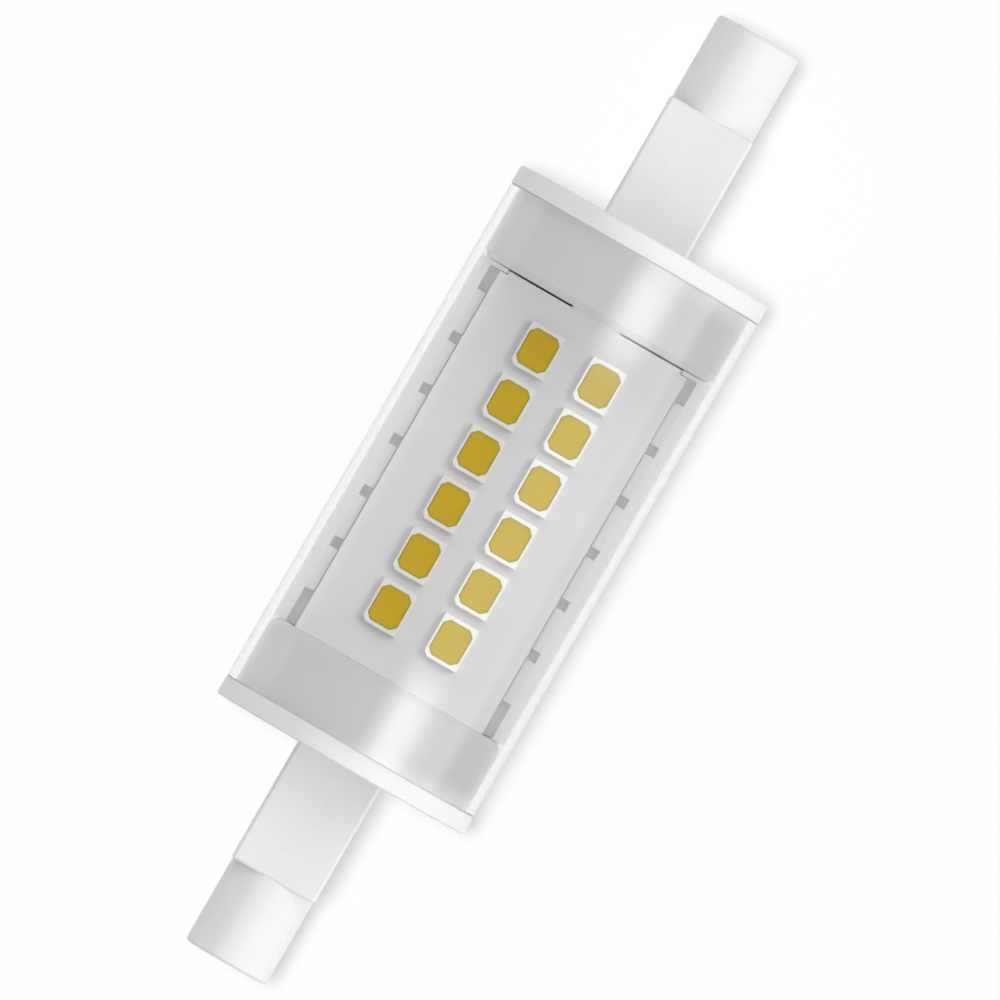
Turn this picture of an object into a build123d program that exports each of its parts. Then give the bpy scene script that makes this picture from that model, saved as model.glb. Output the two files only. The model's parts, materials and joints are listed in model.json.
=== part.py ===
from build123d import *
import os
from math import sqrt

# Double-ended linear LED lamp: a clear round tube between two white end caps, with a recessed contact
# in each end, a white half-round carrier inside, an LED board on top of it and the driver below.
# X runs along the lamp, +Z is the lit side, and the origin is the middle of the lamp on its axis.
# All sizes are in millimetres.

# Whole lamp
OVERALL_LENGTH = 78.0  # from end to end, the short standard length of this lamp
BODY_LENGTH = 44.5  # over the two flanges

# Clear tube
TUBE_DIAMETER = 20.8
TUBE_WALL = 0.65

# End cap, one moulding: flange, collar inside the tube, square block and round barrel
FLANGE_THICKNESS = 1.55
FLANGE_EDGE = 0.12  # bevel of the flange's rim
COLLAR_LENGTH = 5.5
COLLAR_WALL = 1.3
COLLAR_EDGE = 0.47  # bevel of the collar's free end
COLLAR_CLEARANCE = 0.1  # collar in tube, on the radius
END_WALL = 1.0  # wall that closes the upper part of the collar
BLOCK_SIDE = 6.95
BLOCK_EDGE = 0.3  # rounding of the block's long edges
BLOCK_END_EDGE = 0.15  # bevel round the block's end
BARREL_DIAMETER = 6.75
BARREL_LENGTH = 6.95
BARREL_EDGE = 0.2  # bevel of the barrel's end
LEAD_BORE = 2.6  # passage for the supply lead

# Recessed contact
RECESS_DIAMETER = 4.6
RECESS_DEPTH = 2.0
CONTACT_DIAMETER = 3.6
CONTACT_THICKNESS = 0.9
CONTACT_CROWN = 0.25  # bevel of the contact's face
CONTACT_CLEARANCE = 0.05  # contact in its seat, on the radius
STEM_DIAMETER = 1.9
STEM_LENGTH = 4.0

# Carrier inside the tube, between the collars
CARRIER_WALL = 1.2
CARRIER_CLEARANCE = 0.1  # carrier in tube, on the radius
CARRIER_END_CLEARANCE = 0.05  # carrier to collar, at each end
RIM_WIDTH = 0.87  # flat top of the carrier's side wall
GUTTER_WIDTH = 0.77  # channel between the LED board and the side wall
GUTTER_END = 0.35  # wall that closes the right end of a gutter
RIB_HEIGHT = 0.55  # ribs that stand in the gutter beside the LEDs, at the board's side
SHELF_REACH = 1.0  # how far the shelf goes under the LED board
SHELF_THICKNESS = 1.2
END_RING = 1.0  # thickness of the ring that carries the spigot
SPIGOT_LENGTH = 3.0
SPIGOT_WALL = 1.2
SPIGOT_CLEARANCE = 0.1  # spigot in collar, on the radius
SPIGOT_DROP = 0.5  # spigot's top edge below the shelf
RAIL_REACH = 1.0  # how far each rail goes under the driver board
RAIL_THICKNESS = 0.9

# LED board
BOARD_TOP = 2.0  # lit face above the lamp's axis
BOARD_THICKNESS = 1.0
BOARD_SIDE_CLEARANCE = 0.05  # board to ribs, at each side
BOARD_END_PLAY = 0.15  # gap to the right collar
BOARD_NOTCH = 0.6  # corner notch across the board, which the gutter's end wall fills
TONGUE_WIDTH = 4.0
TONGUE_LENGTH = 0.9
TONGUE_CLEARANCE = 0.1

# LEDs, in two columns
LED_LENGTH = 3.5
LED_WIDTH = 2.8
LED_HEIGHT = 0.75
LED_ROWS = 6
LED_PITCH = 4.32
LED_COLUMN_SPACING = 5.12
LED_ROW_SHIFT = 0.25  # middle of the rows, from the middle of the lamp
LED_CORNER = 0.35  # cut corner that marks the cathode
WINDOW_LENGTH = 2.92
WINDOW_WIDTH = 2.45
WINDOW_CORNER = 0.42
WINDOW_DEPTH = 0.45
PHOSPHOR_DIP = 0.02  # phosphor below the rim of the window

# Driver board under the LED board, and the pieces that hang from it into the carrier
DRIVER_THICKNESS = 1.0
DRIVER_SIDE_CLEARANCE = 0.15  # driver board to shelf, so that it drops in from above
DRIVER_END_CLEARANCE = 0.6
LEAD_DIAMETER = 0.9
LEAD_INSET = 2.6  # length of lead that lies on the driver board
PIN_SIDE = 0.64  # square link pins
PIN_SPACING = 5.08
PIN_INSET = 1.4
PACKAGE_LEG_WIDTH = 0.4
PACKAGE_LEG_THICKNESS = 0.2
PACKAGE_LEG_REACH = 0.8
PACKAGE_LIFT = 0.1  # moulded body off the driver board
PACKAGE_EDGE = 0.15
BRIDGE_LENGTH = 4.7
BRIDGE_WIDTH = 3.9
BRIDGE_HEIGHT = 1.5
BRIDGE_LEG_PITCH = 2.5
CHIP_LENGTH = 4.9
CHIP_WIDTH = 3.9
CHIP_HEIGHT = 1.45
CHIP_LEG_PITCH = 1.27
CAPACITOR_DIAMETER = 4.0
CAPACITOR_LENGTH = 7.0
CAPACITOR_GROOVE = 0.3  # depth and width of the crimp
CAPACITOR_GROOVE_INSET = 1.2
CHOKE_SIDE = 5.0
CHOKE_HEIGHT = 3.0
CHOKE_CORNER = 1.2
DIODE_LENGTH = 4.3
DIODE_WIDTH = 2.6
DIODE_HEIGHT = 2.1
RESISTOR_DIAMETER = 1.4
RESISTOR_LENGTH = 3.6
RESISTOR_CAP = 0.8
RESISTOR_CAP_STEP = 0.1
INPUT_INSET = 4.0  # input pieces from the left end of the driver board
OUTPUT_INSET = 3.4  # output pieces from its right end
PIECE_CLEARANCE = 0.1  # pieces to the rails

# Worked out from the sizes above
TUBE_RADIUS = TUBE_DIAMETER / 2
TUBE_BORE_RADIUS = TUBE_RADIUS - TUBE_WALL
COLLAR_RADIUS = TUBE_BORE_RADIUS - COLLAR_CLEARANCE
COLLAR_BORE_RADIUS = COLLAR_RADIUS - COLLAR_WALL
LAMP_END = OVERALL_LENGTH / 2
FLANGE_OUTER = BODY_LENGTH / 2
FLANGE_INNER = FLANGE_OUTER - FLANGE_THICKNESS
COLLAR_END = FLANGE_INNER - COLLAR_LENGTH
BARREL_START = LAMP_END - BARREL_LENGTH
RECESS_FLOOR = LAMP_END - RECESS_DEPTH
CONTACT_SEAT = RECESS_FLOOR - CONTACT_THICKNESS
STEM_END = CONTACT_SEAT - STEM_LENGTH

BOARD_BOTTOM = BOARD_TOP - BOARD_THICKNESS
CARRIER_RADIUS = TUBE_BORE_RADIUS - CARRIER_CLEARANCE
CARRIER_END = COLLAR_END - CARRIER_END_CLEARANCE
GUTTER_OUTER = sqrt(CARRIER_RADIUS**2 - BOARD_TOP**2) - RIM_WIDTH
BOARD_HALF_WIDTH = GUTTER_OUTER - GUTTER_WIDTH
BOARD_LEFT = -COLLAR_END
BOARD_RIGHT = COLLAR_END - BOARD_END_PLAY
SHELF_INNER = BOARD_HALF_WIDTH - SHELF_REACH
SHELF_BOTTOM = BOARD_BOTTOM - SHELF_THICKNESS
CAVITY_RADIUS = CARRIER_RADIUS - CARRIER_WALL
SPIGOT_RADIUS = COLLAR_BORE_RADIUS - SPIGOT_CLEARANCE
SPIGOT_TOP = BOARD_BOTTOM - SPIGOT_DROP

DRIVER_TOP = -LEAD_DIAMETER / 2
DRIVER_BOTTOM = DRIVER_TOP - DRIVER_THICKNESS
DRIVER_HALF_WIDTH = SHELF_INNER - DRIVER_SIDE_CLEARANCE
DRIVER_HALF_LENGTH = CARRIER_END - END_RING - DRIVER_END_CLEARANCE
LEAD_FOOT = DRIVER_HALF_LENGTH - LEAD_INSET
PIN_PLACE = DRIVER_HALF_LENGTH - PIN_INSET
RAIL_INNER = DRIVER_HALF_WIDTH - RAIL_REACH
ROW_EDGE = RAIL_INNER - PIECE_CLEARANCE
INPUT_SIDE = INPUT_INSET - DRIVER_HALF_LENGTH
OUTPUT_SIDE = DRIVER_HALF_LENGTH - OUTPUT_INSET

LED_ROW_PLACES = [LED_ROW_SHIFT + (row - (LED_ROWS - 1) / 2) * LED_PITCH for row in range(LED_ROWS)]
LED_COLUMN_PLACES = [LED_COLUMN_SPACING / 2, -LED_COLUMN_SPACING / 2]


def rod(radius, start, end):
    """Round bar along X from start to end."""
    return Pos((start + end) / 2, 0, 0) * Rot(0, 90, 0) * Cylinder(radius, end - start)


def slab(x_range, y_range, z_range):
    """Box between two values along each axis."""
    sizes = [high - low for low, high in (x_range, y_range, z_range)]
    middle = [(high + low) / 2 for low, high in (x_range, y_range, z_range)]
    return Pos(*middle) * Box(*sizes)


def turned(shape):
    """The same piece at the other end of the lamp, half a turn about Z."""
    return Rot(0, 0, 180) * shape


def circles_along_x(shape):
    return shape.edges().filter_by(GeomType.CIRCLE).sort_by(Axis.X)


def clear_tube():
    return rod(TUBE_RADIUS, -FLANGE_INNER, FLANGE_INNER) - rod(TUBE_BORE_RADIUS, -FLANGE_INNER, FLANGE_INNER)


def end_block():
    """Square block between the flange and the barrel, with rounded long edges and a bevelled end."""
    half = BLOCK_SIDE / 2
    block = slab((FLANGE_OUTER, BARREL_START), (-half, half), (-half, half))
    block = fillet(block.edges().filter_by(Axis.X), BLOCK_EDGE)
    return chamfer(block.faces().sort_by(Axis.X)[-1].edges(), BLOCK_END_EDGE)


def collar_opening():
    """Lower part of the collar's end, which the carrier's spigot enters, and the notch for the tongue."""
    inner_face = COLLAR_END + END_WALL
    lower_half = slab((COLLAR_END, inner_face), (-TUBE_RADIUS, TUBE_RADIUS), (-TUBE_RADIUS, BOARD_BOTTOM))
    notch_half = TONGUE_WIDTH / 2 + TONGUE_CLEARANCE
    notch_top = BOARD_TOP + TONGUE_CLEARANCE
    notch = slab((COLLAR_END, inner_face), (-notch_half, notch_half), (BOARD_BOTTOM, notch_top))
    return (rod(COLLAR_BORE_RADIUS, COLLAR_END, inner_face) & lower_half) + notch


def end_cap():
    """Right end cap."""
    flange = rod(TUBE_RADIUS, FLANGE_INNER, FLANGE_OUTER)
    flange = chamfer(circles_along_x(flange), FLANGE_EDGE)
    collar = rod(COLLAR_RADIUS, COLLAR_END, FLANGE_INNER)
    collar = chamfer(circles_along_x(collar)[0], COLLAR_EDGE)
    barrel = rod(BARREL_DIAMETER / 2, FLANGE_OUTER, LAMP_END)
    barrel = chamfer(circles_along_x(barrel)[-1], BARREL_EDGE)
    cap = flange + collar + end_block() + barrel
    cap -= rod(COLLAR_BORE_RADIUS, COLLAR_END + END_WALL, FLANGE_INNER)
    cap -= collar_opening()
    cap -= rod(LEAD_BORE / 2, FLANGE_INNER, LAMP_END)
    cap -= rod(CONTACT_DIAMETER / 2 + CONTACT_CLEARANCE, CONTACT_SEAT, LAMP_END)
    cap -= rod(RECESS_DIAMETER / 2, RECESS_FLOOR, LAMP_END)
    return cap


def contact():
    """Right contact: a crowned button with a stem that takes the supply lead."""
    button = rod(CONTACT_DIAMETER / 2, CONTACT_SEAT, RECESS_FLOOR)
    button = chamfer(circles_along_x(button)[-1], CONTACT_CROWN)
    return button + rod(STEM_DIAMETER / 2, STEM_END, CONTACT_SEAT)


def supply_lead():
    """Right lead: from the contact's stem straight along the axis, to lie on the driver board."""
    return rod(LEAD_DIAMETER / 2, LEAD_FOOT, STEM_END)


def carrier_shell():
    """Half-round trough with a shelf for the LED board and a rail each side for the driver board."""
    whole = slab((-CARRIER_END, CARRIER_END), (-TUBE_RADIUS, TUBE_RADIUS), (-TUBE_RADIUS, BOARD_TOP))
    shell = rod(CARRIER_RADIUS, -CARRIER_END, CARRIER_END) & whole
    length = (-CARRIER_END, CARRIER_END)
    shell -= slab(length, (-GUTTER_OUTER, GUTTER_OUTER), (BOARD_BOTTOM, BOARD_TOP))
    shell -= slab(length, (-SHELF_INNER, SHELF_INNER), (SHELF_BOTTOM, BOARD_BOTTOM))
    below_shelf = slab(length, (-TUBE_RADIUS, TUBE_RADIUS), (-TUBE_RADIUS, SHELF_BOTTOM))
    shell -= rod(CAVITY_RADIUS, -CARRIER_END, CARRIER_END) & below_shelf
    rail_z = (DRIVER_BOTTOM - RAIL_THICKNESS, DRIVER_BOTTOM)
    rails = slab(length, (-TUBE_RADIUS, TUBE_RADIUS), rail_z)
    rails -= slab(length, (-RAIL_INNER, RAIL_INNER), rail_z)
    return shell + (rails & rod(CARRIER_RADIUS, -CARRIER_END, CARRIER_END))


def carrier_spigot():
    """Right end of the carrier: a ring across the trough's end and the spigot that enters the collar."""
    spigot_end = CARRIER_END + SPIGOT_LENGTH
    ring_start = CARRIER_END - END_RING
    ring = rod(CARRIER_RADIUS, ring_start, CARRIER_END) + rod(SPIGOT_RADIUS, CARRIER_END, spigot_end)
    ring -= rod(SPIGOT_RADIUS - SPIGOT_WALL, ring_start, spigot_end)
    return ring & slab((ring_start, spigot_end), (-TUBE_RADIUS, TUBE_RADIUS), (-TUBE_RADIUS, SPIGOT_TOP))


def gutter_rib(place):
    """Rib beside an LED on the +Y side, with a top that slopes from the board up to the rim."""
    inner = BOARD_HALF_WIDTH + BOARD_SIDE_CLEARANCE
    foot = [(inner, BOARD_BOTTOM), (GUTTER_OUTER, BOARD_BOTTOM)]
    top = [(GUTTER_OUTER, BOARD_TOP), (inner, BOARD_BOTTOM + RIB_HEIGHT)]
    outline = Plane.YZ.offset(place - LED_LENGTH / 2) * Polygon(*foot, *top, align=None)
    return extrude(outline, amount=LED_LENGTH)


def gutter_pieces():
    """Ribs beside the LEDs and the right end wall of the gutter, on the +Y side."""
    width = (BOARD_HALF_WIDTH - BOARD_NOTCH + BOARD_SIDE_CLEARANCE, GUTTER_OUTER)
    end_wall = slab((CARRIER_END - GUTTER_END, CARRIER_END), width, (BOARD_BOTTOM, BOARD_TOP))
    return [gutter_rib(place) for place in LED_ROW_PLACES] + [end_wall]


def carrier():
    body = carrier_shell() + carrier_spigot() + turned(carrier_spigot())
    for piece in gutter_pieces():
        body += piece
        body += mirror(piece, about=Plane.XZ)
    return body


def board_notches():
    """Notches of the board's two right corners, round the end walls of the gutters."""
    along = (CARRIER_END - GUTTER_END - BOARD_SIDE_CLEARANCE, COLLAR_END)
    across = (BOARD_HALF_WIDTH - BOARD_NOTCH, BOARD_HALF_WIDTH)
    notch = slab(along, across, (BOARD_BOTTOM, BOARD_TOP))
    return notch + mirror(notch, about=Plane.XZ)


def led_board():
    height = (BOARD_BOTTOM, BOARD_TOP)
    tongue = (-TONGUE_WIDTH / 2, TONGUE_WIDTH / 2)
    board = slab((BOARD_LEFT, BOARD_RIGHT), (-BOARD_HALF_WIDTH, BOARD_HALF_WIDTH), height)
    board += slab((BOARD_LEFT - TONGUE_LENGTH, BOARD_RIGHT + TONGUE_LENGTH), tongue, height)
    return board - board_notches()


def led_window(bottom, top):
    """Prism of the window's outline, a rectangle with cut corners."""
    outline = Rectangle(WINDOW_LENGTH, WINDOW_WIDTH)
    outline = chamfer(outline.vertices(), WINDOW_CORNER)
    return Pos(0, 0, bottom) * extrude(outline, amount=top - bottom)


def led_body():
    """White LED package standing on Z = 0, with its window open at the top."""
    body = Box(LED_LENGTH, LED_WIDTH, LED_HEIGHT, align=(Align.CENTER, Align.CENTER, Align.MIN))
    upright = body.edges().filter_by(Axis.Z)
    mark = upright.group_by(Axis.X)[0].sort_by(Axis.Y)[-1]
    body = chamfer(mark, LED_CORNER)
    return body - led_window(LED_HEIGHT - WINDOW_DEPTH, LED_HEIGHT)


def led_phosphor():
    return led_window(LED_HEIGHT - WINDOW_DEPTH, LED_HEIGHT - PHOSPHOR_DIP)


def driver_board():
    length = (-DRIVER_HALF_LENGTH, DRIVER_HALF_LENGTH)
    width = (-DRIVER_HALF_WIDTH, DRIVER_HALF_WIDTH)
    return slab(length, width, (DRIVER_BOTTOM, DRIVER_TOP))


def hung(along, across, shape):
    """Hang a piece that stands on Z = 0 under the driver board, at a place along and across it."""
    return Pos(along, across, DRIVER_BOTTOM) * Rot(180, 0, 0) * shape


def legged_package(length, width, height, leg_pitch, leg_count):
    """Moulded package along X with a row of gull legs on each long side."""
    half = width / 2
    body = slab((-length / 2, length / 2), (-half, half), (PACKAGE_LIFT, height))
    body = chamfer(body.faces().sort_by(Axis.Z)[-1].edges(), PACKAGE_EDGE)
    leg_z = (0, PACKAGE_LIFT + PACKAGE_LEG_THICKNESS)
    for leg in range(leg_count):
        middle = (leg - (leg_count - 1) / 2) * leg_pitch
        leg_x = (middle - PACKAGE_LEG_WIDTH / 2, middle + PACKAGE_LEG_WIDTH / 2)
        body += slab(leg_x, (-half - PACKAGE_LEG_REACH, half + PACKAGE_LEG_REACH), leg_z)
    return body


def bridge_rectifier():
    package = legged_package(BRIDGE_LENGTH, BRIDGE_WIDTH, BRIDGE_HEIGHT, BRIDGE_LEG_PITCH, 2)
    return hung(INPUT_SIDE + BRIDGE_LENGTH / 2, ROW_EDGE - BRIDGE_WIDTH / 2 - PACKAGE_LEG_REACH, package)


def driver_chip():
    package = legged_package(CHIP_LENGTH, CHIP_WIDTH, CHIP_HEIGHT, CHIP_LEG_PITCH, 4)
    return hung(0, ROW_EDGE - CHIP_WIDTH / 2 - PACKAGE_LEG_REACH, package)


def smoothing_capacitor():
    """Can lying along X, with the crimp groove near one end."""
    half = CAPACITOR_LENGTH / 2
    radius = CAPACITOR_DIAMETER / 2
    groove_start = half - CAPACITOR_GROOVE_INSET
    groove_end = groove_start + CAPACITOR_GROOVE
    can = rod(radius - CAPACITOR_GROOVE, -half, half)
    can += rod(radius, -half, groove_start)
    can += rod(radius, groove_end, half)
    return hung(0, radius - ROW_EDGE, Pos(0, 0, radius) * can)


def choke():
    """Square shielded coil with rounded corners."""
    block = Box(CHOKE_SIDE, CHOKE_SIDE, CHOKE_HEIGHT, align=(Align.CENTER, Align.CENTER, Align.MIN))
    block = fillet(block.edges().filter_by(Axis.Z), CHOKE_CORNER)
    return hung(OUTPUT_SIDE - CHOKE_SIDE / 2, ROW_EDGE - CHOKE_SIDE / 2, block)


def output_diode():
    body = Box(DIODE_LENGTH, DIODE_WIDTH, DIODE_HEIGHT, align=(Align.CENTER, Align.CENTER, Align.MIN))
    body = chamfer(body.faces().sort_by(Axis.Z)[-1].edges(), PACKAGE_EDGE)
    return hung(OUTPUT_SIDE - DIODE_LENGTH / 2, DIODE_WIDTH / 2 - ROW_EDGE, body)


def fusible_resistor():
    """Round body lying along X with a metal cap on each end."""
    half = RESISTOR_LENGTH / 2
    radius = RESISTOR_DIAMETER / 2
    body = rod(radius - RESISTOR_CAP_STEP, -half, half)
    body += rod(radius, -half, -half + RESISTOR_CAP)
    body += rod(radius, half - RESISTOR_CAP, half)
    return hung(INPUT_SIDE + half, radius - ROW_EDGE, Pos(0, 0, radius) * body)


def link_pin(side):
    """Square pin that feeds the LED board from the driver board; side is +1 or -1."""
    half = PIN_SIDE / 2
    middle = side * PIN_SPACING / 2
    return slab((PIN_PLACE - half, PIN_PLACE + half), (middle - half, middle + half), (DRIVER_TOP, BOARD_BOTTOM))


pieces = {
    "clear_tube": clear_tube(),
    "end_cap_right": end_cap(),
    "end_cap_left": turned(end_cap()),
    "contact_right": contact(),
    "contact_left": turned(contact()),
    "supply_lead_right": supply_lead(),
    "supply_lead_left": turned(supply_lead()),
    "carrier": carrier(),
    "led_board": led_board(),
    "driver_board": driver_board(),
    "bridge_rectifier": bridge_rectifier(),
    "fusible_resistor": fusible_resistor(),
    "driver_chip": driver_chip(),
    "smoothing_capacitor": smoothing_capacitor(),
    "choke": choke(),
    "output_diode": output_diode(),
    "link_pin_positive": link_pin(1),
    "link_pin_negative": link_pin(-1),
}
for column, across in zip("ab", LED_COLUMN_PLACES):
    for row, along in enumerate(LED_ROW_PLACES, start=1):
        place = Pos(along, across, BOARD_TOP)
        pieces[f"led_body_{column}{row}"] = place * led_body()
        pieces[f"led_phosphor_{column}{row}"] = place * led_phosphor()

os.makedirs("parts", exist_ok=True)
for node, shape in pieces.items():
    export_step(shape, f"parts/{node}.step")
    print(node, "volume", round(shape.volume, 2))
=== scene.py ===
# %% [markdown]
# A linear LED lamp
#
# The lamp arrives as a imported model: every piece is there, at its real size and in its place. This lesson
# gives each piece its finish, rounds the moulded edges, lays the lamp on a pale table and looks straight
# down on its lit face. The lamp lies along X, the lit face looks up along Z, and one unit is a metre, so a
# millimetre gets a name.

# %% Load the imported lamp
import bpy
import bmesh
import json
from math import cos, pi, radians, sin, tan
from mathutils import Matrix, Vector


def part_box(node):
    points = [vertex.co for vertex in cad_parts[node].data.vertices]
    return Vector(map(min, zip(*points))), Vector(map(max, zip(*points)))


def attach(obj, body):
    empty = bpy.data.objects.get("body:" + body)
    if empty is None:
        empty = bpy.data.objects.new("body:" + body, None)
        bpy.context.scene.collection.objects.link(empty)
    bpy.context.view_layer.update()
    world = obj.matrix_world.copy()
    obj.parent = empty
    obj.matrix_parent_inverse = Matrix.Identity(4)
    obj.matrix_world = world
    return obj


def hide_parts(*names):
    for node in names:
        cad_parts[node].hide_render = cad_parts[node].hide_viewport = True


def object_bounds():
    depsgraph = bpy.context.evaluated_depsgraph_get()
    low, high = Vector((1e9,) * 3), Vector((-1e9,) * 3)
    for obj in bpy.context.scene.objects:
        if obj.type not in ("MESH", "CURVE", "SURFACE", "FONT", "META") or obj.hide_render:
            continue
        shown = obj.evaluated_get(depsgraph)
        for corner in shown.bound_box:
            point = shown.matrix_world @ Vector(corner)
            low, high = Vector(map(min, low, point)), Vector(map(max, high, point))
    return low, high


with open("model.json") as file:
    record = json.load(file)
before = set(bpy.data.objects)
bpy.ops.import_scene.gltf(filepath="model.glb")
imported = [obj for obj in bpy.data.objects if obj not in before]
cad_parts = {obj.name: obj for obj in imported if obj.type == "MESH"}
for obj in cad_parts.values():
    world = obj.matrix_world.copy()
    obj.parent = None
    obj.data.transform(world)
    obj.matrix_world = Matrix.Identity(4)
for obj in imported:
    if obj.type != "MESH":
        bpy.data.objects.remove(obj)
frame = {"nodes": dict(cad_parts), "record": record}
cad_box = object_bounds()
scene = bpy.context.scene
MM = 0.001
print("pieces", len(frame["nodes"]), "box in mm", [[round(v / MM, 2) for v in corner] for corner in cad_box])

# %% [markdown]
# The camera
#
# The lamp is seen from straight above, turned so that it runs from lower left to upper right. Its long
# edges stay parallel in such a view, so the camera stands two metres off with a very long lens. An
# orthographic camera would do as well, but a long lens keeps a trace of depth. The lens follows from the
# frame's width.

# %% Make the camera
CAMERA_DISTANCE = 2.0
SENSOR_WIDTH = 36
FRAME_WIDTH = 73 * MM
CAMERA_TURN = radians(-60)
AIM_RIGHT = 0.54 * MM
AIM_UP = -0.02 * MM
camera_data = bpy.data.cameras.new("camera")
camera = bpy.data.objects.new("camera", camera_data)
scene.collection.objects.link(camera)
scene.camera = camera
camera_data.sensor_width = SENSOR_WIDTH
camera_data.lens = SENSOR_WIDTH * CAMERA_DISTANCE / FRAME_WIDTH
image_right = Vector((cos(CAMERA_TURN), sin(CAMERA_TURN), 0))
image_up = Vector((-sin(CAMERA_TURN), cos(CAMERA_TURN), 0))
camera.rotation_euler = (0, 0, CAMERA_TURN)
camera.location = AIM_RIGHT * image_right + AIM_UP * image_up + Vector((0, 0, CAMERA_DISTANCE))
scene.view_settings.view_transform = "Standard"
print("lens", round(camera_data.lens), "mm")

# %% [markdown]
# Small helpers for shader nodes
#
# Every finish below is a node tree. Three helpers keep those trees short: one adds a node with its settings,
# one does arithmetic, and one maps a range of values to another with soft ends, which is the most useful
# node for gradients.

# %% Node helpers
def add_node(tree, kind, **settings):
    node = tree.nodes.new(kind)
    for name, value in settings.items():
        setattr(node, name, value)
    return node


def calculate(tree, operation, first, second):
    """A Math node; each input is a socket or a number."""
    node = add_node(tree, "ShaderNodeMath", operation=operation)
    for place, value in enumerate((first, second)):
        if isinstance(value, bpy.types.NodeSocket):
            tree.links.new(value, node.inputs[place])
        else:
            node.inputs[place].default_value = value
    return node.outputs[0]


def soft_range(tree, source, start, end, low, high):
    """From low to high as the source goes from start to end, with soft ends."""
    node = add_node(tree, "ShaderNodeMapRange", interpolation_type="SMOOTHSTEP")
    tree.links.new(source, node.inputs["Value"])
    for socket, value in zip(("From Min", "From Max", "To Min", "To Max"), (start, end, low, high)):
        node.inputs[socket].default_value = value
    return node.outputs["Result"]


# %% [markdown]
# The studio light
#
# A clear tube mirrors what stands above it, so the light is designed by what the tube should show. A round
# tube seen from above mirrors only what lies across it, never what lies past its ends. So the sky is dark
# overhead, which keeps the LEDs rich in colour, and pale at the horizon. Two broad glows past the ends of
# the lamp light the flat faces and leave no mark on the tube; the far one, at the top of the picture, is
# the stronger. One sky made of these parts is simpler than a set of lights.

# %% Make the sky
SKY_OVERHEAD = 0.18
SKY_HORIZON = 0.5
HORIZON_HEIGHT = 0.6
FAR_GLOW = 0.7
NEAR_GLOW = 0.5
END_GLOW_START = 0.25
END_GLOW_FULL = 0.7
sky = bpy.data.worlds.new("studio_sky")
scene.world = sky
sky.use_nodes = True
tree = sky.node_tree
direction = add_node(tree, "ShaderNodeSeparateXYZ")
tree.links.new(add_node(tree, "ShaderNodeTexCoord").outputs["Generated"], direction.inputs[0])
dome = soft_range(tree, direction.outputs["Z"], HORIZON_HEIGHT, 0, SKY_OVERHEAD, SKY_HORIZON)
far_end = soft_range(tree, direction.outputs["X"], END_GLOW_START, END_GLOW_FULL, 0, FAR_GLOW)
near_end = soft_range(tree, direction.outputs["X"], -END_GLOW_START, -END_GLOW_FULL, 0, NEAR_GLOW)
both_ends = calculate(tree, "ADD", far_end, near_end)
tree.links.new(calculate(tree, "ADD", dome, both_ends), tree.nodes["Background"].inputs["Strength"])
tree.nodes["Background"].inputs["Color"].default_value = (1, 1, 1, 1)
print("sky from", SKY_OVERHEAD, "overhead to", SKY_HORIZON, "at the horizon")

# %% [markdown]
# Cards for the gloss
#
# A softbox at the right draws a bright streak along the tube, brighter over the two collars than over the
# LEDs, and a paler band follows further right. A sky stands too far off to show that: each spot along the
# tube would mirror the same bit of it. Cards that hang near the lamp do it, dimmer in the middle and
# bright towards both ends. They glow without hiding the sky behind them, and only mirror-like rays see
# them, so they change the gloss and leave the other light alone.

# %% Hang the cards
CARD_DISTANCE = 0.5
CARD_LENGTH = 54 * MM
CARD_SHIFT = -0.7 * MM
CARD_DIM_END = 14.35 * MM
CARD_BRIGHT_START = 20.2 * MM


def card_finish(name, core, soft_edge, middle_glow, end_glow):
    material = bpy.data.materials.new(name)
    material.use_nodes = True
    tree = material.node_tree
    tree.nodes.clear()
    place = add_node(tree, "ShaderNodeSeparateXYZ")
    tree.links.new(add_node(tree, "ShaderNodeTexCoord").outputs["Object"], place.inputs[0])
    from_middle = calculate(tree, "ABSOLUTE", place.outputs["X"], 0)
    from_core = calculate(tree, "ABSOLUTE", place.outputs["Y"], 0)
    lengthwise = soft_range(tree, from_middle, CARD_DIM_END, CARD_BRIGHT_START, middle_glow, end_glow)
    crosswise = soft_range(tree, from_core, soft_edge, core, 0, 1)
    glow = add_node(tree, "ShaderNodeEmission")
    tree.links.new(calculate(tree, "MULTIPLY", lengthwise, crosswise), glow.inputs["Strength"])
    both = add_node(tree, "ShaderNodeAddShader")
    tree.links.new(glow.outputs[0], both.inputs[0])
    tree.links.new(add_node(tree, "ShaderNodeBsdfTransparent").outputs[0], both.inputs[1])
    output = add_node(tree, "ShaderNodeOutputMaterial")
    tree.links.new(both.outputs[0], output.inputs["Surface"])
    return material


def hang_card(name, angle, core, soft_edge, middle_glow, end_glow):
    """A glowing card at an angle to the right of straight up; core and soft_edge are half widths."""
    stands_at = Vector((CARD_SHIFT, -CARD_DISTANCE * sin(angle), CARD_DISTANCE * cos(angle)))
    bpy.ops.mesh.primitive_plane_add(size=1, location=stands_at, rotation=(angle, 0, 0))
    card = bpy.context.object
    card.name = name
    for corner in card.data.vertices:
        corner.co = (corner.co.x * CARD_LENGTH, corner.co.y * 2 * soft_edge, 0)
    card.data.materials.append(card_finish(name, core, soft_edge, middle_glow, end_glow))
    card.visible_camera = False
    card.visible_diffuse = False
    card.visible_shadow = False
    print(name, "at", [round(v, 2) for v in stands_at])


hang_card("streak_card", angle=radians(30), core=0.04, soft_edge=0.3, middle_glow=1.5, end_glow=5.4)
hang_card("side_card", angle=radians(69), core=0.09, soft_edge=0.21, middle_glow=1.1, end_glow=1.7)

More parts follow.
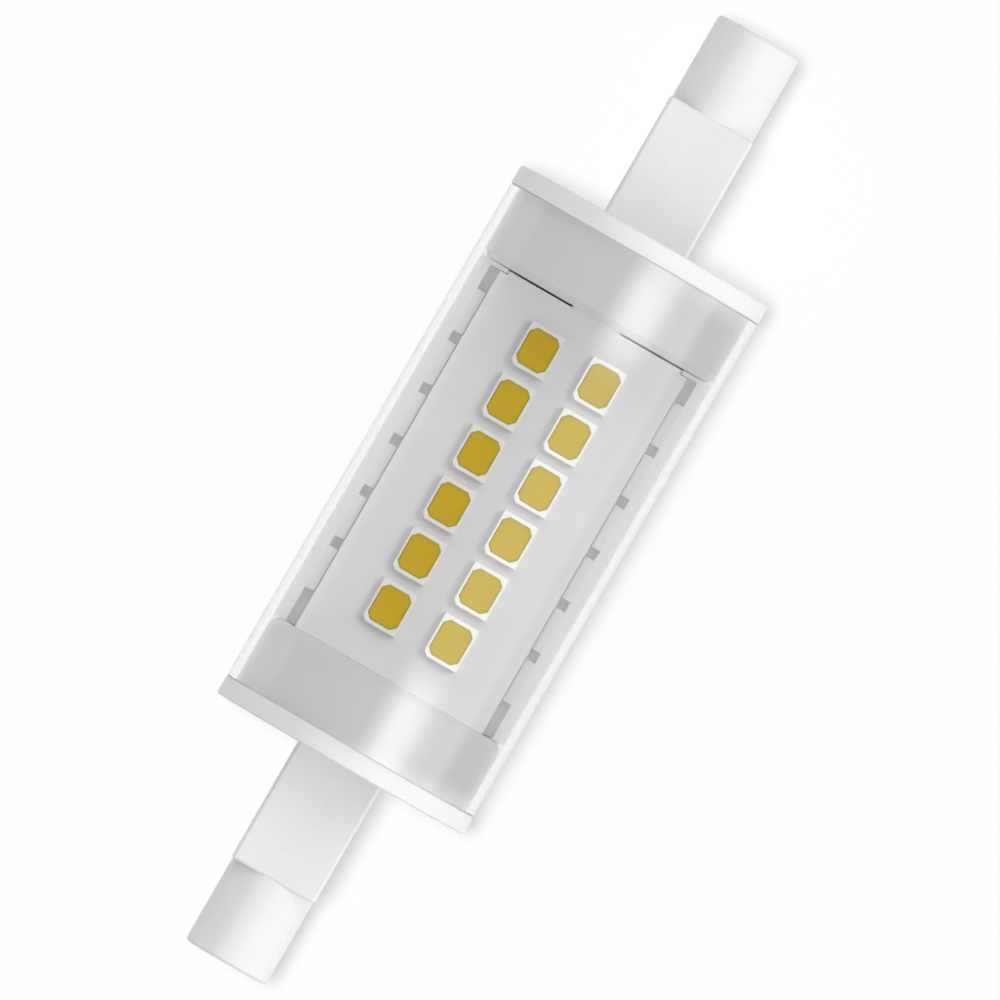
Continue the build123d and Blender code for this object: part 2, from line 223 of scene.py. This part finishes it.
# %% [markdown]
# The table
#
# The lamp lies on a white table, and only a narrow soft shadow shows along its right side and, fainter,
# round its ends. A plain white floor would turn grey all round the lamp, because the lamp hides half the
# sky from it. So the floor glows a little by itself for the rays that see it, and a sun that lights the
# floor alone draws the shadow. The floor is clear from behind, so the lamp can be looked at from below too.

# %% Make the table
FLOOR_SIZE = 6.0
FLOOR_TONE = 0.15
FLOOR_GLOW = 0.535
TABLE_LIGHT = 2.6
SUN_TILT_LEFT = radians(3)
SUN_TILT_DOWN = radians(1.2)
SUN_WIDTH = radians(8.5)
floor_low = cad_box[0].z
bpy.ops.mesh.primitive_plane_add(size=FLOOR_SIZE, location=(0, 0, floor_low))
floor = bpy.context.object
floor.name = "table"


def table_finish():
    material = bpy.data.materials.new("table_white")
    material.use_nodes = True
    tree = material.node_tree
    tree.nodes.clear()
    paint = add_node(tree, "ShaderNodeBsdfDiffuse")
    paint.inputs["Color"].default_value = (FLOOR_TONE, FLOOR_TONE, FLOOR_TONE, 1)
    glow = add_node(tree, "ShaderNodeEmission")
    path = add_node(tree, "ShaderNodeLightPath").outputs
    seen = calculate(tree, "MAXIMUM", path["Is Camera Ray"], path["Is Glossy Ray"])
    seen = calculate(tree, "MAXIMUM", seen, path["Is Transmission Ray"])
    tree.links.new(calculate(tree, "MULTIPLY", seen, FLOOR_GLOW), glow.inputs["Strength"])
    both = add_node(tree, "ShaderNodeAddShader")
    tree.links.new(paint.outputs[0], both.inputs[0])
    tree.links.new(glow.outputs[0], both.inputs[1])
    behind = add_node(tree, "ShaderNodeBsdfTransparent")
    one_sided = add_node(tree, "ShaderNodeMixShader")
    geometry = add_node(tree, "ShaderNodeNewGeometry")
    tree.links.new(geometry.outputs["Backfacing"], one_sided.inputs[0])
    tree.links.new(both.outputs[0], one_sided.inputs[1])
    tree.links.new(behind.outputs[0], one_sided.inputs[2])
    output = add_node(tree, "ShaderNodeOutputMaterial")
    tree.links.new(one_sided.outputs[0], output.inputs["Surface"])
    return material


floor.data.materials.append(table_finish())


def group(name, pieces):
    """A collection that a light can be linked to."""
    collection = bpy.data.collections.new(name)
    for piece in pieces:
        collection.objects.link(piece)
    return collection


def add_light(name, kind, energy, stands_at, aims_at, lit_pieces):
    """A light that shines only on the pieces that are linked to it."""
    data = bpy.data.lights.new(name, kind)
    data.energy = energy
    light = bpy.data.objects.new(name, data)
    scene.collection.objects.link(light)
    light.location = stands_at
    light.rotation_euler = (stands_at - aims_at).to_track_quat("Z", "Y").to_euler()
    light.light_linking.receiver_collection = group("lit_by_" + name, lit_pieces)
    return light


origin = Vector((0, 0, 0))
table_sun_from = Vector((-sin(SUN_TILT_DOWN), sin(SUN_TILT_LEFT), 1))
table_sun = add_light("table_sun", "SUN", TABLE_LIGHT * pi, table_sun_from, origin, [floor])
table_sun.data.angle = SUN_WIDTH
print("table at", round(floor_low / MM, 2), "mm")

# %% [markdown]
# White mouldings
#
# The end caps, the carrier and the LED packages are moulded in white plastics that differ in shade and
# gloss. One function makes such a finish: a slow cloud of noise shifts the shade by a trace, a fine noise
# gives the skin its grain, and the same noise breaks the gloss a little. Noise is read in object
# coordinates, which are metres here, so a scale of 5000 makes grains a fifth of a millimetre wide.

# %% White moulding finish
GRAIN_SCALE = 5000
GRAIN_DEPTH = 0.01 * MM
CLOUD_SCALE = 160
NOISE_LOW, NOISE_HIGH = 0.3, 0.7
GLOSS_SPREAD = 0.1


def moulding(name, shade, roughness, grain=0.06, cloud=0.02):
    material = bpy.data.materials.new(name)
    material.use_nodes = True
    tree = material.node_tree
    skin = tree.nodes["Principled BSDF"]
    place = add_node(tree, "ShaderNodeTexCoord").outputs["Object"]
    slow = add_node(tree, "ShaderNodeTexNoise")
    slow.inputs["Scale"].default_value = CLOUD_SCALE
    fine = add_node(tree, "ShaderNodeTexNoise")
    fine.inputs["Scale"].default_value = GRAIN_SCALE
    for noise in (slow, fine):
        tree.links.new(place, noise.inputs["Vector"])
    tint = add_node(tree, "ShaderNodeValToRGB")
    low, high = tint.color_ramp.elements
    low.position, high.position = NOISE_LOW, NOISE_HIGH
    low.color = tuple(channel * (1 - cloud) for channel in shade) + (1,)
    high.color = tuple(channel * (1 + cloud) for channel in shade) + (1,)
    tree.links.new(slow.outputs["Fac"], tint.inputs["Fac"])
    tree.links.new(tint.outputs["Color"], skin.inputs["Base Color"])
    smoothest, roughest = roughness * (1 - GLOSS_SPREAD), roughness * (1 + GLOSS_SPREAD)
    gloss = soft_range(tree, fine.outputs["Fac"], NOISE_LOW, NOISE_HIGH, smoothest, roughest)
    tree.links.new(gloss, skin.inputs["Roughness"])
    bump = add_node(tree, "ShaderNodeBump")
    bump.inputs["Strength"].default_value = grain
    bump.inputs["Distance"].default_value = GRAIN_DEPTH
    tree.links.new(fine.outputs["Fac"], bump.inputs["Height"])
    tree.links.new(bump.outputs["Normal"], skin.inputs["Normal"])
    return material


cap_white = moulding("cap_white", (0.83, 0.83, 0.83), 0.3, grain=0.03)
carrier_white = moulding("carrier_white", (0.84, 0.84, 0.84), 0.5)
board_white = moulding("board_white", (0.82, 0.81, 0.82), 0.45, grain=0.1)
led_white = moulding("led_white", (0.89, 0.885, 0.855), 0.4)
print("white finishes", [finish.name for finish in (cap_white, carrier_white, board_white, led_white)])

# %% [markdown]
# The clear tube
#
# The tube is clear plastic with a wall of 0.65 mm. Glass in a path tracer lets no plain light through to
# what it covers, only caustics, which are slow and noisy. So a ray that asks whether a light reaches a
# point finds a clear film instead. The film passes less at a glancing angle, as a real wall does, so the
# tube's sides still cast a shadow. Long faint draw lines run along the tube.

# %% Clear tube finish
TUBE_INDEX = 1.45
TUBE_TINT = (0.93, 0.93, 0.93, 1)
TUBE_SMOOTHEST, TUBE_ROUGHEST = 0.02, 0.05
DRAW_LINES = (8, 500, 500)
FILM_PASSES = 0.965
FILM_PASSES_AT_EDGE = 0.2
FILM_EDGE_START, FILM_EDGE_FULL = 0.5, 1.0


def clear_plastic():
    material = bpy.data.materials.new("clear_tube")
    material.use_nodes = True
    tree = material.node_tree
    glass = tree.nodes["Principled BSDF"]
    glass.inputs["Base Color"].default_value = TUBE_TINT
    glass.inputs["Transmission Weight"].default_value = 1
    glass.inputs["IOR"].default_value = TUBE_INDEX
    place = add_node(tree, "ShaderNodeTexCoord").outputs["Object"]
    stretch = add_node(tree, "ShaderNodeMapping")
    stretch.inputs["Scale"].default_value = DRAW_LINES
    tree.links.new(place, stretch.inputs["Vector"])
    lines = add_node(tree, "ShaderNodeTexNoise")
    lines.inputs["Scale"].default_value = 1
    tree.links.new(stretch.outputs["Vector"], lines.inputs["Vector"])
    gloss = soft_range(tree, lines.outputs["Fac"], NOISE_LOW, NOISE_HIGH, TUBE_SMOOTHEST, TUBE_ROUGHEST)
    tree.links.new(gloss, glass.inputs["Roughness"])
    film = add_node(tree, "ShaderNodeBsdfTransparent")
    facing = add_node(tree, "ShaderNodeLayerWeight").outputs["Facing"]
    passes = soft_range(tree, facing, FILM_EDGE_START, FILM_EDGE_FULL, FILM_PASSES, FILM_PASSES_AT_EDGE)
    tree.links.new(passes, film.inputs["Color"])
    path = add_node(tree, "ShaderNodeLightPath").outputs
    light_ray = calculate(tree, "MAXIMUM", path["Is Shadow Ray"], path["Is Diffuse Ray"])
    mix = add_node(tree, "ShaderNodeMixShader")
    tree.links.new(light_ray, mix.inputs[0])
    tree.links.new(glass.outputs[0], mix.inputs[1])
    tree.links.new(film.outputs[0], mix.inputs[2])
    tree.links.new(mix.outputs[0], tree.nodes["Material Output"].inputs["Surface"])
    return material


clear_tube = clear_plastic()
print("tube index", TUBE_INDEX)

# %% [markdown]
# Phosphor
#
# The yellow window of each LED is a phosphor powder in clear resin. It is matt inside with little gloss on
# top and slightly mottled by the powder. Its rim is painted a shade darker and greener: painted shade that
# stands for the package wall's shadow on the edge of the fill. The piece that is made further down marks
# its rim with a value from 0 to 1, and this finish reads that value.

# %% Phosphor finish
PHOSPHOR = (0.645, 0.427, 0.004)
# painted shade: a darker, greener phosphor colour at the rim stands for the package wall's shadow on the
# fill
PHOSPHOR_RIM_SHADE = (0.5, 0.385, 0.012, 1)
PHOSPHOR_GLOSS = 0.25
RIM_SHADE_MARK = "rim"


def phosphor_finish():
    material = moulding("phosphor", PHOSPHOR, 0.5, grain=0.1, cloud=0.03)
    tree = material.node_tree
    skin = tree.nodes["Principled BSDF"]
    skin.inputs["Specular IOR Level"].default_value = PHOSPHOR_GLOSS
    powder = skin.inputs["Base Color"].links[0].from_socket
    # the marked rim gets the painted shade colour here
    shade_mark = add_node(tree, "ShaderNodeAttribute", attribute_name=RIM_SHADE_MARK)
    rim_shade_blend = add_node(tree, "ShaderNodeMix", data_type="RGBA")
    tree.links.new(soft_range(tree, shade_mark.outputs["Fac"], 0.0, 1.0, 0, 1), rim_shade_blend.inputs["Factor"])
    tree.links.new(powder, rim_shade_blend.inputs["A"])
    rim_shade_blend.inputs["B"].default_value = PHOSPHOR_RIM_SHADE
    tree.links.new(rim_shade_blend.outputs["Result"], skin.inputs["Base Color"])
    return material


phosphor = phosphor_finish()
print("phosphor", PHOSPHOR)

# %% [markdown]
# The inner pieces
#
# The contacts, leads and driver pieces are hidden in this view, but they show when the lamp is turned or
# taken apart. Each gets the finish that such pieces have: nickel, tin, laminate, dark mouldings and so on.
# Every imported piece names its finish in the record, so one loop dresses them all.

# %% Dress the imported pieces
def metal(name, shade, roughness):
    material = moulding(name, shade, roughness, grain=0.15, cloud=0.05)
    material.node_tree.nodes["Principled BSDF"].inputs["Metallic"].default_value = 1
    return material


finishes = {
    "clear_tube": clear_tube,
    "cap_white": cap_white,
    "contact_metal": metal("contact_metal", (0.72, 0.70, 0.66), 0.3),
    "lead_sleeve": moulding("lead_sleeve", (0.80, 0.79, 0.76), 0.6),
    "carrier_white": carrier_white,
    "board_white": board_white,
    "led_white": led_white,
    "phosphor": phosphor,
    "driver_laminate": moulding("driver_laminate", (0.30, 0.38, 0.20), 0.5, cloud=0.1),
    "black_moulding": moulding("black_moulding", (0.03, 0.03, 0.032), 0.55, grain=0.3, cloud=0.15),
    "resistor_ceramic": moulding("resistor_ceramic", (0.40, 0.50, 0.54), 0.4, cloud=0.08),
    "capacitor_can": moulding("capacitor_can", (0.04, 0.05, 0.09), 0.3, cloud=0.1),
    "choke_ferrite": moulding("choke_ferrite", (0.09, 0.09, 0.095), 0.6, grain=0.4, cloud=0.2),
    "pin_metal": metal("pin_metal", (0.78, 0.76, 0.72), 0.35),
}
slot_of = {row["node"]: row["material_slot"] for row in frame["record"]["subparts"]}
for node, piece in frame["nodes"].items():
    piece.data.materials.clear()
    piece.data.materials.append(finishes[slot_of[node]])
print("finishes", len(finishes), "on", len(slot_of), "pieces")

# %% [markdown]
# Pieces that stand for packed ones
#
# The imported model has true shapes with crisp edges. A moulded edge is never crisp: it has a small radius
# that catches a line of light. Such a piece is made as a copy: the flat faces are joined up again, every
# sharp edge gets a round bevel, and the normals are weighted by area so that flat faces stay flat. The
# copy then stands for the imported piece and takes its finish.

# %% Helpers for new pieces
WELD = 1e-4 * MM
FLAT_ANGLE = radians(1)
SHARP_ANGLE = radians(25)
ROUND_PROFILE = 0.5


def add_piece(name, shape, node):
    """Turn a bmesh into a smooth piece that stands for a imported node."""
    for face in shape.faces:
        face.smooth = True
    for edge in shape.edges:
        edge.smooth = True
    data = bpy.data.meshes.new(name)
    shape.to_mesh(data)
    shape.free()
    piece = bpy.data.objects.new(name, data)
    scene.collection.objects.link(piece)
    data.materials.append(finishes[slot_of[node]])
    piece.modifiers.new("even_normals", "WEIGHTED_NORMAL")
    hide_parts(node)
    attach(piece, "root")
    return piece


def packed_shape(node):
    """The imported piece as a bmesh, with its flat faces joined up."""
    shape = bmesh.new()
    for vertex in frame["nodes"][node].data.vertices:
        shape.verts.new(vertex.co)
    shape.verts.ensure_lookup_table()
    for polygon in frame["nodes"][node].data.polygons:
        shape.faces.new([shape.verts[corner] for corner in polygon.vertices])
    bmesh.ops.remove_doubles(shape, verts=shape.verts, dist=WELD)
    bmesh.ops.dissolve_limit(shape, angle_limit=FLAT_ANGLE, verts=shape.verts, edges=shape.edges)
    return shape


def rounded(node, radius, segments=2):
    """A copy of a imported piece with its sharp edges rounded."""
    shape = packed_shape(node)
    sharp = [edge for edge in shape.edges if edge.is_manifold and edge.calc_face_angle() > SHARP_ANGLE]
    bmesh.ops.bevel(shape, geom=sharp, offset=radius, offset_type="OFFSET", segments=segments,
                    profile=ROUND_PROFILE, affect="EDGES", clamp_overlap=True)
    return add_piece(node + "_rounded", shape, node)


# %% [markdown]
# Round the mouldings
#
# The end caps, the carrier, the board, the contacts and the LED packages are all rounded this way, each
# with the radius that such a piece has.

# %% Rounded pieces
CAP_RADIUS = 0.06 * MM
CARRIER_RADIUS = 0.05 * MM
BOARD_RADIUS = 0.03 * MM
CONTACT_RADIUS = 0.08 * MM
LED_RADIUS = 0.035 * MM
radius_of_slot = {"cap_white": CAP_RADIUS, "carrier_white": CARRIER_RADIUS, "board_white": BOARD_RADIUS,
                  "contact_metal": CONTACT_RADIUS, "led_white": LED_RADIUS}
rounded_pieces = [rounded(node, radius_of_slot[slot])
                  for node, slot in slot_of.items() if slot in radius_of_slot]
print("rounded pieces", len(rounded_pieces))

# %% [markdown]
# The tube as a fine ring
#
# Clear plastic shows every facet in what it mirrors and bends, so the tube is spun again with many more
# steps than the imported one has. Its section is a long rectangle with softened corners. The ends stop a
# hair short of the flanges, because a clear face that lies exactly on a white one flickers.

# %% Spin the tube
TUBE_STEPS = 256
TUBE_END_GAP = 0.005 * MM
TUBE_CORNER = 0.03 * MM
CORNER_STEPS = 4


def tube_section(inner, outer, end):
    """Points (x, r) round the section, with a quarter circle at each corner."""
    points = []
    for turn, (x_side, r_place) in enumerate(((1, outer), (-1, outer), (-1, inner), (1, inner))):
        middle_x = x_side * (end - TUBE_CORNER)
        middle_r = r_place - TUBE_CORNER if r_place == outer else r_place + TUBE_CORNER
        for step in range(CORNER_STEPS + 1):
            angle = (turn + step / CORNER_STEPS) * pi / 2
            points.append((middle_x + TUBE_CORNER * cos(angle), middle_r + TUBE_CORNER * sin(angle)))
    return points


def spin_tube():
    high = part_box("clear_tube")[1]
    bore = min(Vector((v.co.y, v.co.z)).length for v in frame["nodes"]["clear_tube"].data.vertices)
    shape = bmesh.new()
    ring = [shape.verts.new((x, 0, r)) for x, r in tube_section(bore, high.z, high.x - TUBE_END_GAP)]
    edges = [shape.edges.new((a, b)) for a, b in zip(ring, ring[1:] + ring[:1])]
    bmesh.ops.spin(shape, geom=ring + edges, axis=(1, 0, 0), cent=(0, 0, 0), steps=TUBE_STEPS, angle=2 * pi,
                   use_merge=True)
    bmesh.ops.recalc_face_normals(shape, faces=shape.faces)
    return add_piece("clear_tube_spun", shape, "clear_tube")


tube = spin_tube()
print("tube faces", len(tube.data.polygons))

# %% [markdown]
# Phosphor fills
#
# The resin is poured into the package and creeps up the wall, so its face is a shallow dish with a thin
# rim. Insetting the imported fill's top face gives the rings of that dish, and each ring is lowered a little
# more. The outermost ring is marked for the finish, which paints a darker shade there. A plain flat face
# would look like a mirror.

# %% Pour the phosphor
DISH_RINGS = ((0.08 * MM, 0.01 * MM, 1), (0.14 * MM, 0.015 * MM, 0), (0.4 * MM, 0.02 * MM, 0))


def pour(node):
    shape = packed_shape(node)
    # marks where the phosphor finish paints its rim shade
    rim_shade_mark = shape.verts.layers.float.new(RIM_SHADE_MARK)
    face = max(shape.faces, key=lambda one: one.calc_center_median().z)
    for corner in face.verts:
        corner[rim_shade_mark] = 1
    for inset, drop, shade_mark in DISH_RINGS:
        bmesh.ops.inset_individual(shape, faces=[face], thickness=inset, use_even_offset=True)
        for corner in face.verts:
            corner.co.z -= drop
            corner[rim_shade_mark] = shade_mark
    return add_piece(node + "_poured", shape, node)


fills = [pour(node) for node, slot in slot_of.items() if slot == "phosphor"]
print("phosphor fills", len(fills))

# %% [markdown]
# The key light
#
# The softbox at the right also lights the lamp itself. Inside the tube it draws the small shadow beside
# each LED. The tube's right wall throws some of the key back, so the right column of LEDs is the brighter
# one. One light can't do all that, so the key is made of lights that are linked to the pieces they light.
# The caps don't cast shadows for the key, or they would darken one end of the board.

# %% Sort the pieces by the light they need
def pieces_of(*starts):
    """The new pieces whose names start with one of these words."""
    return [piece for piece in rounded_pieces + fills if piece.name.startswith(starts)]


carrier_pieces = pieces_of("carrier")
board_pieces = pieces_of("led_")
print("carrier", len(carrier_pieces), "board and LEDs", len(board_pieces))

# %% Light the inside from the right
KEY_ANGLE = radians(34)
KEY_LEAN = radians(24)
KEY_WIDTH = radians(25)
KEY_LIGHT = 0.75
PACKAGE_LIGHT = 0.8
WINDOW_LIGHT = 0.5
WINDOW_TINT = (0.5, 1.0, 0.3)
key_from = Vector((sin(KEY_LEAN), -sin(KEY_ANGLE), cos(KEY_ANGLE)))
inner_casters = group("inner_shadow_casters", carrier_pieces + board_pieces)
all_casters = group("all_shadow_casters", rounded_pieces + fills)
for name, energy, tint, pieces in (("key_sun", KEY_LIGHT, (1, 1, 1), board_pieces),
                                   ("package_sun", PACKAGE_LIGHT, (1, 1, 1), pieces_of("led_body_b")),
                                   ("window_sun", WINDOW_LIGHT, WINDOW_TINT, pieces_of("led_phosphor_b"))):
    sun = add_light(name, "SUN", energy, key_from, origin, pieces)
    sun.data.angle = KEY_WIDTH
    sun.data.color = tint
    sun.light_linking.blocker_collection = inner_casters
    print(name, "on", len(pieces), "pieces")

# %% [markdown]
# Light from above
#
# Light from all over a white room fills the shadows inside the tube. The sky could give it, but the sky is
# kept dark overhead for the sake of the gloss. So a very wide sun stands for the room, and it stays out of
# the gloss. The caps do cast shadows for it, which gives both ends of the board a soft shade.

# %% Light the inside from above
INNER_TOP_WIDTH = radians(140)
INNER_TOP_LEAN = radians(20)
BOARD_TOP_LIGHT = 0.97
CARRIER_TOP_LIGHT = 1.48
for name, energy, lean, pieces in (("board_top_sun", BOARD_TOP_LIGHT, INNER_TOP_LEAN, board_pieces),
                                   ("carrier_top_sun", CARRIER_TOP_LIGHT, 0, carrier_pieces)):
    sun = add_light(name, "SUN", energy, Vector((sin(lean), 0, cos(lean))), origin, pieces)
    sun.data.angle = INNER_TOP_WIDTH
    sun.light_linking.blocker_collection = all_casters
    sun.visible_glossy = False
    print(name, "on", len(pieces), "pieces")

# %% [markdown]
# Light on the ends
#
# The flanges, blocks and round ends are bright on their right side, while the collars inside the tube stay
# even. So each end gets a spot from the right, and the edge of its cone falls just inside the flange's
# inner face and leaves the collar out. A light from above, which leans towards the middle of the lamp,
# lets each flange shade the block behind it a little.

# %% Light the ends
END_TOP_LIGHT = 1.3
END_TOP_WIDTH = radians(70)
END_TOP_LEAN = radians(15)
SPOT_DISTANCE = 0.6
SPOT_ANGLE = radians(65)
SPOT_HALF_CONE = radians(8)
SPOT_RADIUS = 1 * MM
SPOT_OVERLAP = 0.6 * MM
SPOT_POWER = 5.7
tube_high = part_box("clear_tube")[1]
across = Vector((0, -sin(SPOT_ANGLE), cos(SPOT_ANGLE)))
for side, end in (("right", 1), ("left", -1)):
    pieces = pieces_of("end_cap_" + side, "contact_" + side)
    top_from = Vector((-end * sin(END_TOP_LEAN), 0, cos(END_TOP_LEAN)))
    top_sun = add_light(side + "_top_sun", "SUN", END_TOP_LIGHT, top_from, origin, pieces)
    top_sun.data.angle = END_TOP_WIDTH
    top_sun.visible_glossy = False
    outwards = Vector((end, 0, 0))
    edge = (tube_high.x - SPOT_OVERLAP) * outwards
    aims_at = edge + SPOT_DISTANCE * tan(SPOT_HALF_CONE) * outwards
    spot = add_light(side + "_spot", "SPOT", SPOT_POWER, edge + SPOT_DISTANCE * across, aims_at, pieces)
    spot.data.spot_size = 2 * SPOT_HALF_CONE
    spot.data.spot_blend = 0
    spot.data.shadow_soft_size = SPOT_RADIUS
    spot.visible_glossy = False
    print(side, "end: lights on", len(pieces), "pieces from", round(edge.x / MM, 2), "mm outwards")

# %% [markdown]
# Light from the table
#
# A white table throws light up at whatever lies on it. This table is painted grey and glows only for the
# rays that see it, so it throws up little. A sun from straight below makes up for that and keeps the
# lamp's sides and underside white. The lamp's own pieces cast shadows for it and the table doesn't, or
# no light would come through.

# %% Light the underside
BOUNCE_LIGHT = 1.3
BOUNCE_WIDTH = radians(10)
white_pieces = pieces_of("end_cap", "contact", "carrier")
bounce_sun = add_light("bounce_sun", "SUN", BOUNCE_LIGHT, Vector((0, 0, -1)), origin, white_pieces)
bounce_sun.data.angle = BOUNCE_WIDTH
bounce_sun.visible_glossy = False
bounce_sun.light_linking.blocker_collection = all_casters
print("light from below on", len(white_pieces), "pieces")
